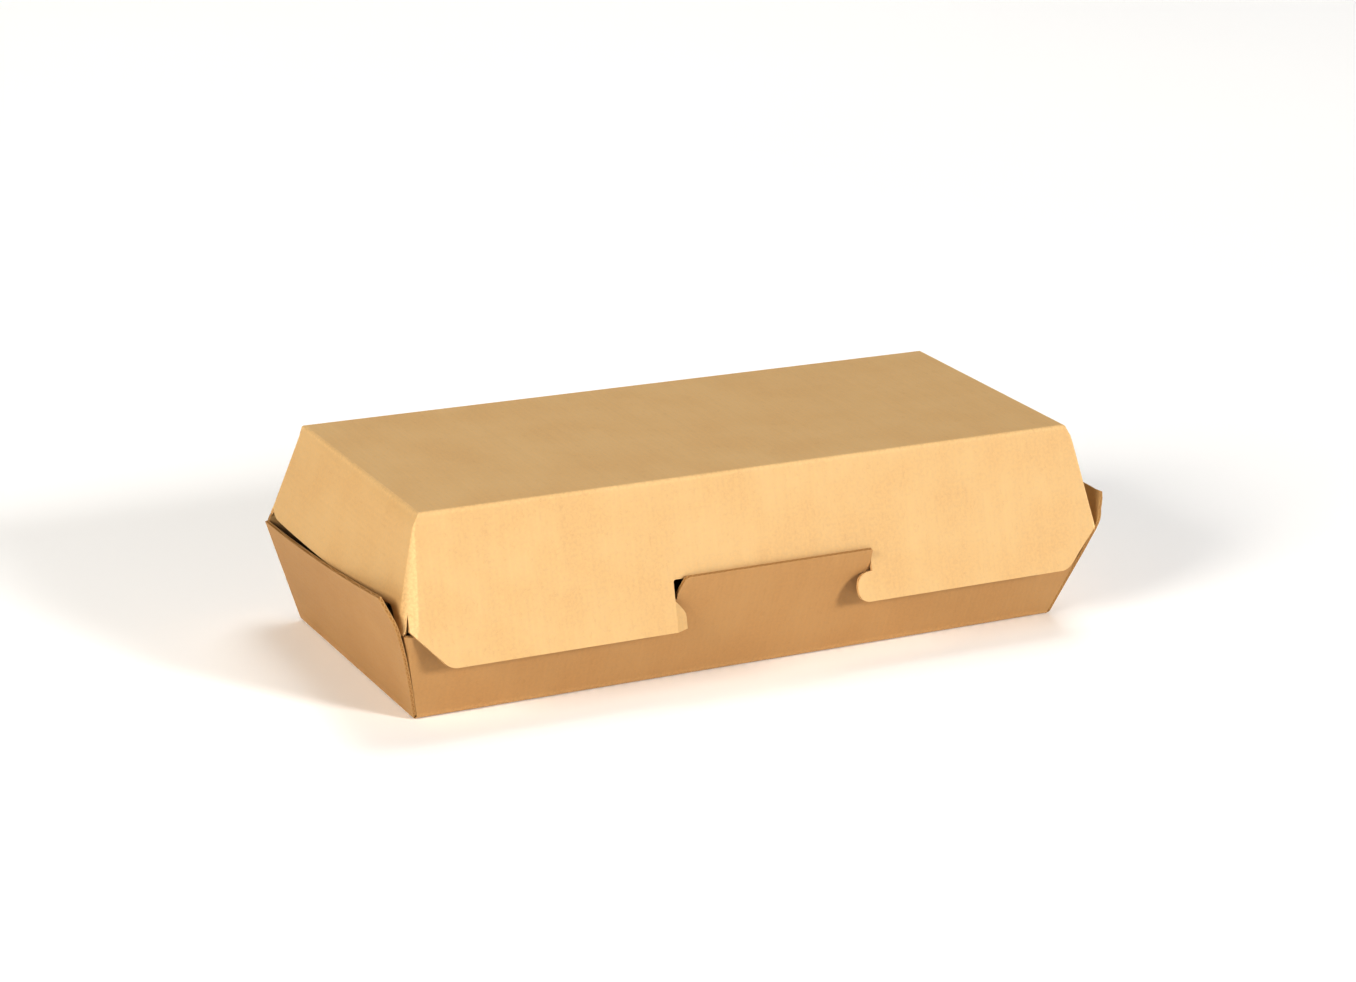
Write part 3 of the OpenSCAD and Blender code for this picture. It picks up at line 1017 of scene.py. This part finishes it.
    def top_panel(self) -> None:
        """Adds the top panel: a grid whose edges are the four walls' upper rows."""
        z = np.array([self.sizes.height])
        bend_x, bend_y = (v[0] for v in self.corner(z, Side.FRONT, End.LEFT))
        share = self.column_share()
        x = np.concatenate([-bend_x[:0:-1], (2.0 * share - 1.0) * bend_x[0], bend_x[1:]])
        side_y = np.concatenate([bend_y[:0:-1], np.full(len(share), bend_y[0]), bend_y[1:]])
        turn, straight = np.pi / 4.0 * BEND, self.end_share()
        front_turn = np.concatenate([turn[:0:-1], np.zeros(len(straight) + len(BEND) - 1)])
        share = np.concatenate([np.zeros(len(BEND) - 1), straight, np.ones(len(BEND) - 1)])
        end_x, y = self.end_surface(np.full(len(share), z[0]), front_turn, share, front_turn[::-1], End.LEFT)
        grid_x, grid_y = np.meshgrid(x, y)
        grid_x[:, 0], grid_x[:, -1] = -end_x, end_x
        grid_y[0], grid_y[-1] = -side_y, side_y
        points = np.stack([grid_x, grid_y, np.full_like(grid_x, self.sizes.height)], -1)
        crease = np.zeros_like(grid_x)
        crease[[0, -1]] = crease[:, [0, -1]] = 1.0
        self.board.add(Patch(points, np.stack([grid_x, grid_y + LID_START], -1), crease))

    def glued_flap(self, side: Side, end: End) -> None:
        """Adds the flap that lies glued inside an end wall beside a corner."""
        s = self.sizes
        z = spaced((s.height - 2.2, 0), (40.5, 9), (38.6, 3))
        down = self.down(z)
        depth = self.side.reach(down)[:, None]
        root = depth - s.slant(s.side_lean) - self.clearance - 0.35 * self.radius(z, side, end)[:, None]
        length = self.glue_length * (1.0 - 0.25 * down / 31.0) - 3.0 * smooth(down, 27.0, 30.8) ** 2
        y = side.value * (root - length[:, None] * np.linspace(0.0, 1.0, 7)[None, :])
        x, _ = self.end_surface(spread(z, 7), 0.0, (y + depth) / (2.0 * depth), 0.0, end)
        bend = 0.3 * self.radius(z, side, end)[:, None] * (side is Side.FRONT)
        x = x - s.slant(s.lid_end_lean) - s.glue - bend
        flat_y = spread(self.side.run(down), 7)
        self.add_rows(end.value * x, y, z, end.value * (x + root - np.abs(y)), side.value * flat_y)

    def build(self, finish: "KraftBoard") -> bpy.types.Object:
        """Builds and dresses the lid.

        Args:
            finish: Finish of the board.

        Returns:
            The lid's object.
        """
        self.top_panel()
        for side in Side:
            self.long_wall(side)
        for end in End:
            self.end_panel(end)
            self.ear_patch(end)
            for side in Side:
                self.glued_flap(side, end)
        piece = self.board.build()
        finish.dress(piece)
        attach(piece, "lid")
        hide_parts("lid")
        return piece


@dataclass
class HingeCrease:
    """The strip of board along the crease between the two back walls, built shut; on the real box it bends as
    the lid opens.

    Attributes:
        sizes: Sizes shared with the tray and the lid.
        half_height: How far the strip reaches below and above the crease.
        ease: How far the two walls' planes are rounded off where they meet.
        tray_reach: Half the strip's length at its lower edge.
        lid_reach: Half the strip's length at its upper edge.
        flat_start: Place of the box's underside on the flat sheet, for the strip's pattern.
        columns: Number of columns along the box.
    """

    sizes: Sizes
    half_height: float = 1.5
    ease: float = 0.3
    tray_reach: float = 129.6
    lid_reach: float = 128.2
    flat_start: float = 46.0
    columns: int = 41

    def build(self, finish: "KraftBoard") -> bpy.types.Object:
        """Builds and dresses the strip: two leaning lines joined by a curve, carried along the box.

        The curve is the root of height squared plus ease squared, in place of the height.

        Args:
            finish: Finish of the board.

        Returns:
            The strip's object.
        """
        s, limit = self.sizes, self.half_height
        height = spaced((-limit, 0), (-0.7, 4), (-0.6, 1), (0.6, 12), (0.7, 1), (limit, 4))
        ridge = s.half_width + s.side_lean * s.crease_height
        soft = np.sqrt(height**2 + self.ease**2)
        share = smooth(np.abs(height), 1.0, limit)
        y = ridge - s.side_lean * (soft * (1.0 - share) + np.abs(height) * share)
        half = np.interp(height, [-limit, limit], [self.tray_reach, self.lid_reach])
        x = np.linspace(-1.0, 1.0, self.columns)[None, :] * half[:, None]
        z = spread(s.crease_height + height, self.columns)
        points = np.stack([x, spread(y, self.columns), z], -1)
        flat = np.stack([x, z + self.flat_start], -1)
        weight = spread(1.0 - smooth(np.abs(height), self.ease, limit), self.columns)
        board = Board("hinge_crease", s.thickness)
        board.add(Patch(points, flat, weight))
        piece = board.build()
        finish.dress(piece)
        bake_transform(piece)
        return piece


def linear(code: str) -> tuple[float, float, float, float]:
    """Turns an sRGB hex value into linear light."""
    value = np.array([int(code[k:k + 2], 16) / 255.0 for k in (1, 3, 5)])
    light = np.where(value <= 0.04045, value / 12.92, ((value + 0.055) / 1.055) ** 2.4)
    return (*light.tolist(), 1.0)


def new_material(name: str) -> tuple[bpy.types.Material, bpy.types.NodeTree]:
    """Makes a material whose node tree is empty, and gives the tree with it."""
    material = bpy.data.materials.new(name)
    material.use_nodes = True
    material.node_tree.nodes.clear()
    return material, material.node_tree


def add_node(tree: bpy.types.NodeTree, kind: str, settings: dict[str, Any] | None = None,
             **inputs: Any) -> Node:
    """Adds a node with its settings and its links.

    Args:
        tree: Node tree that the node joins.
        kind: Blender's name for the node type.
        settings: Properties of the node.
        inputs: Sockets by name, with _ for a space, or in_0, in_1 for their numbers. An output
            socket is linked, and any other value is set.

    Returns:
        The node.
    """
    node = tree.nodes.new(kind)
    for name, value in (settings or {}).items():
        setattr(node, name, value)
    for name, value in inputs.items():
        socket = node.inputs[int(name[3:])] if name.startswith("in_") else node.inputs[name.replace("_", " ")]
        if isinstance(value, Socket):
            tree.links.new(value, socket)
        else:
            socket.default_value = value
    return node


@dataclass(frozen=True)
class KraftLiner:
    """Unbleached kraft liner, the brown paper that faces the board on both sides.

    Long wood fibres laid down on a paper machine give it a fine mottle, short darker strands and
    a dull face that shines a little at a glance. Behind it the flutes show as faint straight lines.

    Attributes:
        name: Name of the material.
        pale: Colour of its palest clouds, as sRGB hex.
        mid: Colour that the mottle mixes in.
        dark: Colour of its darkest clouds.
        strand: Colour of the darker strands.
        seed: Shift of its patterns in millimetres, so that no two liners have the same clouds.
        roughness: Roughness of its face.
        washboard: Height of the flutes in the relief, beside that of the fibres.
    """

    name: str
    pale: str
    mid: str
    dark: str
    strand: str
    seed: float
    roughness: float = 0.62
    washboard: float = 0.35

    def material(self) -> bpy.types.Material:
        """Makes the liner's material from patterns on the flat sheet.

        Returns:
            The material.
        """
        material, tree = new_material(self.name)
        sheet = add_node(tree, "ShaderNodeUVMap", {"uv_map": "sheet"}).outputs["UV"]
        place = add_node(tree, "ShaderNodeMapping", Vector=sheet, Location=(self.seed, self.seed * 1.7, 0.0))
        place = place.outputs["Vector"]
        # Clouds of 15 to 30 mm, where the pulp lay thicker.
        cloud = add_node(tree, "ShaderNodeTexNoise", FLAT_NOISE, Vector=place, Scale=0.045,
                         Detail=3.0, Roughness=0.55)
        # Mottle of about 1 mm, the flocks of fibres that catch the light.
        mottle = add_node(tree, "ShaderNodeTexNoise", FLAT_NOISE, Vector=place, Scale=0.95,
                          Detail=4.0, Roughness=0.62)
        # Streaks along the flutes, about 3 mm wide and 60 mm long.
        drawn = add_node(tree, "ShaderNodeMapping", Vector=place, Scale=(0.34, 0.016, 1.0)).outputs["Vector"]
        streak = add_node(tree, "ShaderNodeTexNoise", FLAT_NOISE, Vector=drawn, Scale=1.0,
                          Detail=3.0, Roughness=0.6)
        # Strands are 0.03 mm wide in truth. They are drawn from a pattern that is 0.6 mm across and
        # 4.5 mm long, so that they show.
        warped = add_node(tree, "ShaderNodeVectorMath", MULTIPLY_ADD,
                          in_0=mottle.outputs["Color"], in_1=(3.0, 3.0, 0.0), in_2=place).outputs[0]
        combed = add_node(tree, "ShaderNodeMapping", Vector=warped, Scale=(1.6, 0.22, 1.0)).outputs["Vector"]
        strand = add_node(tree, "ShaderNodeTexNoise", FLAT_NOISE, Vector=combed, Scale=1.0,
                          Detail=2.0, Roughness=0.5)
        strand_mask = add_node(tree, "ShaderNodeMapRange", EASED,
                               Value=strand.outputs["Fac"], From_Min=0.62, From_Max=0.74, To_Max=0.16)
        # Flutes of micro-flute board stand 1.9 mm apart.
        flute = add_node(tree, "ShaderNodeTexWave", {"wave_type": "BANDS", "bands_direction": "X",
                                                     "wave_profile": "SIN"},
                         Vector=sheet, Scale=2.0 * math.pi / 1.9 / 20.0, Distortion=0.0)
        drift = add_node(tree, "ShaderNodeMapRange", Value=cloud.outputs["Fac"], From_Min=0.32, From_Max=0.68,
                         To_Min=0.32, To_Max=0.68)
        base = add_node(tree, "ShaderNodeMix", COLOUR_MIX, in_0=drift.outputs["Result"],
                        in_6=linear(self.dark), in_7=linear(self.pale))
        ramp = add_node(tree, "ShaderNodeMapRange", Value=mottle.outputs["Fac"], From_Min=0.3, From_Max=0.7,
                        To_Min=0.0, To_Max=0.55)
        warm = add_node(tree, "ShaderNodeMix", COLOUR_MIX, in_0=ramp.outputs["Result"],
                        in_6=base.outputs[2], in_7=linear(self.mid))
        shade = add_node(tree, "ShaderNodeMapRange", Value=streak.outputs["Fac"], From_Min=0.3, From_Max=0.7,
                         To_Min=0.985, To_Max=1.012)
        ribs = add_node(tree, "ShaderNodeMapRange", Value=flute.outputs["Fac"], To_Min=0.995, To_Max=1.005)
        fleck = add_node(tree, "ShaderNodeMapRange", Value=mottle.outputs["Fac"], From_Min=0.3, From_Max=0.7,
                         To_Min=0.955, To_Max=1.045)
        tone = add_node(tree, "ShaderNodeMath", MULTIPLY, in_0=shade.outputs["Result"],
                        in_1=ribs.outputs["Result"])
        tone = add_node(tree, "ShaderNodeMath", MULTIPLY, in_0=tone.outputs[0],
                        in_1=fleck.outputs["Result"])
        lit = add_node(tree, "ShaderNodeVectorMath", {"operation": "SCALE"}, in_0=warm.outputs[2],
                       Scale=tone.outputs[0])
        stranded = add_node(tree, "ShaderNodeMix", COLOUR_MIX, in_0=strand_mask.outputs["Result"],
                            in_6=lit.outputs[0], in_7=linear(self.strand))
        # Scored creases are crushed, which opens the paper and lightens it a little. The pale tone along the
        # folds is also a painted highlight, where a rounded fold catches the light.
        crease = add_node(tree, "ShaderNodeAttribute", {"attribute_name": "crease"})
        rubbed = add_node(tree, "ShaderNodeMath", MULTIPLY, in_0=crease.outputs["Fac"],
                          in_1=mottle.outputs["Fac"])
        wear_and_highlight = add_node(tree, "ShaderNodeMapRange", Value=rubbed.outputs[0], From_Min=0.15, From_Max=0.7,
                        To_Max=0.75)
        pale_wear_and_highlight_tone = tuple(min(1.0, 1.25 * part) for part in linear(self.pale))
        colour = add_node(tree, "ShaderNodeMix", COLOUR_MIX, in_0=wear_and_highlight.outputs["Result"],
                          in_6=stranded.outputs[2], in_7=pale_wear_and_highlight_tone)
        # The face is felted: tooth of about 0.3 mm, drawn coarser than the real 0.05 mm fibres.
        tooth = add_node(tree, "ShaderNodeTexNoise", FLAT_NOISE, Vector=place, Scale=3.0,
                         Detail=3.0, Roughness=0.6)
        relief = add_node(tree, "ShaderNodeMath", MULTIPLY_ADD, in_0=flute.outputs["Fac"],
                          in_1=self.washboard, in_2=tooth.outputs["Fac"])
        relief = add_node(tree, "ShaderNodeMath", MULTIPLY_ADD, in_0=mottle.outputs["Fac"],
                          in_1=0.8, in_2=relief.outputs[0])
        bump = add_node(tree, "ShaderNodeBump", Height=relief.outputs[0], Strength=0.35, Distance=0.00006)
        gloss = add_node(tree, "ShaderNodeMapRange", Value=mottle.outputs["Fac"], From_Min=0.3, From_Max=0.7,
                         To_Min=self.roughness - 0.06, To_Max=self.roughness + 0.10)
        shader = add_node(tree, "ShaderNodeBsdfPrincipled", Base_Color=colour.outputs[2],
                          Roughness=gloss.outputs["Result"], Normal=bump.outputs["Normal"], IOR=1.5,
                          Specular_IOR_Level=0.32)
        add_node(tree, "ShaderNodeOutputMaterial", Surface=shader.outputs["BSDF"])
        return material


@dataclass(frozen=True)
class CutEdge:
    """Die-cut edge of single-wall micro-flute board.

    Two thin liners stand as pale lines with the flute between them, and the hollows of the flute are painted
    dark: painted shade inside them. The cut crushes the paper, so its fibres stand out rough and light.

    Attributes:
        name: Name of the material.
        paper: Colour of the cut paper, as sRGB hex.
        hollow_shade: Painted shade in the hollows between the liners and the flute.
        thickness: Thickness of the board in millimetres.
        pitch: Distance from one flute to the next in millimetres.
    """

    name: str
    paper: str
    hollow_shade: str
    thickness: float = 1.2
    pitch: float = 1.9

    def material(self) -> bpy.types.Material:
        """Makes the edge: the UV map holds the place along the sheet and the depth, both in millimetres.

        The flute is the line where the depth is half the thickness plus a cosine of the place, and
        the share of paper falls off smoothly with the distance from it and from the two faces.

        Returns:
            The material.
        """
        material, tree = new_material(self.name)
        sheet = add_node(tree, "ShaderNodeUVMap", {"uv_map": "sheet"}).outputs["UV"]
        parts = add_node(tree, "ShaderNodeSeparateXYZ", Vector=sheet)
        turn = add_node(tree, "ShaderNodeMath", MULTIPLY, in_0=parts.outputs["X"],
                        in_1=2.0 * math.pi / self.pitch)
        wave = add_node(tree, "ShaderNodeMath", {"operation": "COSINE"}, in_0=turn.outputs[0])
        middle = add_node(tree, "ShaderNodeMath", MULTIPLY_ADD, in_0=wave.outputs[0],
                          in_1=self.thickness * 0.33, in_2=self.thickness * 0.5)
        off = add_node(tree, "ShaderNodeMath", SUBTRACT, in_0=parts.outputs["Y"],
                       in_1=middle.outputs[0])
        off = add_node(tree, "ShaderNodeMath", ABSOLUTE, in_0=off.outputs[0])
        fluting = add_node(tree, "ShaderNodeMapRange", EASED,
                           Value=off.outputs[0], From_Min=0.28, From_Max=0.10)
        deep = add_node(tree, "ShaderNodeMath", SUBTRACT, in_0=parts.outputs["Y"],
                        in_1=self.thickness * 0.5)
        deep = add_node(tree, "ShaderNodeMath", ABSOLUTE, in_0=deep.outputs[0])
        liners = add_node(tree, "ShaderNodeMapRange", EASED,
                          Value=deep.outputs[0], From_Min=self.thickness * 0.5 - 0.32,
                          From_Max=self.thickness * 0.5 - 0.12)
        paper = add_node(tree, "ShaderNodeMath", {"operation": "MAXIMUM"}, in_0=fluting.outputs["Result"],
                         in_1=liners.outputs["Result"])
        frayed = add_node(tree, "ShaderNodeTexNoise", FLAT_NOISE, Vector=sheet, Scale=2.6,
                          Detail=3.0, Roughness=0.6)
        share = add_node(tree, "ShaderNodeMath", MULTIPLY_ADD, in_0=frayed.outputs["Fac"],
                         in_1=0.35, in_2=paper.outputs[0])
        share = add_node(tree, "ShaderNodeMapRange", Value=share.outputs[0], From_Min=0.1, From_Max=1.1)
        # Where the share of paper falls, the colour turns to the painted shade of the flute's hollows.
        colour = add_node(tree, "ShaderNodeMix", COLOUR_MIX, in_0=share.outputs["Result"],
                          in_6=linear(self.hollow_shade), in_7=linear(self.paper))
        bump = add_node(tree, "ShaderNodeBump", Height=share.outputs["Result"], Strength=0.15,
                        Distance=0.0002)
        shader = add_node(tree, "ShaderNodeBsdfPrincipled", Base_Color=colour.outputs[2], Roughness=0.85,
                          Normal=bump.outputs["Normal"], Specular_IOR_Level=0.2)
        add_node(tree, "ShaderNodeOutputMaterial", Surface=shader.outputs["BSDF"])
        return material


@dataclass(frozen=True)
class KraftBoard:
    """Kraft micro-flute board: a liner outside, a liner inside, and the die-cut edge.

    Attributes:
        outside: Material of the face outside the box.
        inside: Material of the face inside the box.
        edge: Material of the cut edge.
    """

    outside: bpy.types.Material
    inside: bpy.types.Material
    edge: bpy.types.Material

    def dress(self, piece: bpy.types.Object) -> None:
        """Gives the piece its three materials, in the order of the Face slots."""
        for material in (self.outside, self.inside, self.edge):
            piece.data.materials.append(material)


@dataclass(frozen=True)
class Studio:
    """Pale sweep, soft lights and the camera of the photograph.

    Attributes:
        yaw: Turn of the view to the right of straight ahead, in degrees.
        pitch: Fall of the view, in degrees.
        roll: Tilt of the camera, in degrees.
        focal: Focal length in pixels of the photograph.
        eye: Place of the camera in millimetres.
    """

    yaw: float = 29.39
    pitch: float = 19.32
    roll: float = 2.66
    focal: float = 3339.6
    eye: tuple[float, float, float] = (-528.2, -931.8, 421.1)

    def camera(self) -> None:
        """Makes the camera: ahead from yaw and pitch, and right and up turned by the roll."""
        yaw, pitch, roll = (math.radians(v) for v in (self.yaw, self.pitch, self.roll))
        ahead = Vector((math.sin(yaw) * math.cos(pitch), math.cos(yaw) * math.cos(pitch), -math.sin(pitch)))
        level = Vector((math.cos(yaw), -math.sin(yaw), 0.0))
        above = level.cross(ahead)
        right = math.cos(roll) * level + math.sin(roll) * above
        up = -math.sin(roll) * level + math.cos(roll) * above
        data = bpy.data.cameras.new("camera")
        data.sensor_width = 36.0
        data.lens = self.focal / IMAGE_WIDTH * data.sensor_width
        data.clip_start, data.clip_end = 0.05, 20.0
        camera = bpy.data.objects.new("camera", data)
        turned = Matrix((right, up, -ahead)).transposed().to_4x4()
        camera.matrix_world = Matrix.Translation(Vector(self.eye) * MM) @ turned
        bpy.context.scene.collection.objects.link(camera)
        bpy.context.scene.camera = camera

    def light(self, name: str, towards: tuple[float, float, float], distance: float, size: float,
              power: float, colour: str, aim: tuple[float, float, float] = (0.0, 0.0, 0.035)) -> None:
        """Adds a square soft light.

        Args:
            name: Name of the light.
            towards: Direction from the lit place to the light.
            distance: Distance from the lit place, in metres.
            size: Length of its side, in metres.
            power: Power in watts.
            colour: Colour of its light, as sRGB hex.
            aim: The lit place, in metres: the middle of the box, or another.
        """
        data = bpy.data.lights.new(name, "AREA")
        data.shape, data.size, data.energy = "SQUARE", size, power
        data.color = linear(colour)[:3]
        lamp = bpy.data.objects.new(name, data)
        way = Vector(towards).normalized()
        lamp.matrix_world = Matrix.Translation(way * distance + Vector(aim)) @ \
            way.to_track_quat("Z", "Y").to_matrix().to_4x4()
        bpy.context.scene.collection.objects.link(lamp)

    def floor(self) -> None:
        """Adds a pale floor: a square sheet whose height rises smoothly far from the box, as a sweep does."""
        line = np.linspace(-6.0, 6.0, 81)
        x, y = np.meshgrid(line, line)
        far = np.sqrt(x * x + y * y)
        z = 1.2 * smooth(far, 3.0, 6.5) - 0.0002
        faces = grid_faces(*x.shape)
        mesh = bpy.data.meshes.new("studio_floor")
        mesh.from_pydata(np.stack([x, y, z], -1).reshape(-1, 3), [], faces)
        mesh.polygons.foreach_set("use_smooth", np.ones(len(faces), bool))
        material = bpy.data.materials.new("pale_paper_sweep")
        material.use_nodes = True
        tree = material.node_tree
        shader = tree.nodes["Principled BSDF"]
        place = add_node(tree, "ShaderNodeTexCoord").outputs["Object"]
        grain = add_node(tree, "ShaderNodeTexNoise", Vector=place, Scale=3.0, Detail=2.0)
        tint = add_node(tree, "ShaderNodeMix", COLOUR_MIX, in_0=grain.outputs["Fac"],
                        in_6=linear("#FAF9F7"), in_7=linear("#FDFCFB"))
        tree.links.new(tint.outputs[2], shader.inputs["Base Color"])
        shader.inputs["Roughness"].default_value = 0.9
        shader.inputs["Specular IOR Level"].default_value = 0.1
        mesh.materials.append(material)
        floor = bpy.data.objects.new("studio_floor", mesh)
        bpy.context.scene.collection.objects.link(floor)

    def build(self) -> None:
        """Sets the camera, the floor, the even light from all round, and the four lights."""
        self.camera()
        self.floor()
        world = bpy.data.worlds.new("studio")
        world.use_nodes = True
        back = world.node_tree.nodes["Background"]
        back.inputs["Color"].default_value = linear("#FFFDFB")
        back.inputs["Strength"].default_value = 0.06
        bpy.context.scene.world = world
        self.light("key", (0.47, -0.80, 0.37), 5.0, 1.0, 224.0, "#FFFFFF")
        self.light("fill_left", (-0.86, -0.27, 0.43), 2.0, 0.8, 38.0, "#FFFBF4")
        self.light("top", (0.3, 0.3, 0.9), 5.0, 2.4, 98.0, "#FFFFFF")
        self.light("sweep_behind", (0.0, 0.0, 1.0), 1.1, 1.4, 4.5, "#FFFFFF", (0.35, 1.35, 0.0))
        view = bpy.context.scene.view_settings
        view.view_transform, view.look, view.gamma = "Standard", "None", 1.0 / 1.2


def main() -> None:
    """Builds the box piece by piece, then the studio round it."""
    logging.basicConfig(level=logging.INFO, format="%(message)s")
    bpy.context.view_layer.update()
    sizes = Sizes()
    # The tray's liner and cut edge are darker copies of the lid's, though both are one sheet of board:
    # painted shade, for the tray's walls lean to face down and catch less light. The hinge strip takes the
    # same shaded copy.
    tray_edge_shaded = CutEdge("die_cut_edge_tray_shaded", "#A98456", "#8F693C").material()
    edge_above = CutEdge("die_cut_edge_lid", "#D3AE7C", "#A98355").material()
    inside = KraftLiner("kraft_liner_inside", "#C3A374", "#BD9867", "#B89261", "#A17A4C", 731.0,
                        washboard=0.5).material()
    # Painted shade: the tray's outer liner is the lid's kraft made darker.
    below = KraftLiner("kraft_liner_tray_shaded", "#B18D5F", "#AB8454", "#A77E4F", "#91693D", 0.0).material()
    above = KraftLiner("kraft_liner_lid", "#CAAC7D", "#C4A16E", "#BF9A68", "#A78152", 212.0).material()
    shaded_tray_board = KraftBoard(below, inside, tray_edge_shaded)
    Tray(sizes).build(shaded_tray_board)
    Lid(sizes).build(KraftBoard(above, inside, edge_above))
    HingeCrease(sizes).build(shaded_tray_board)
    Studio().build()


if __name__ == "__main__":
    main()
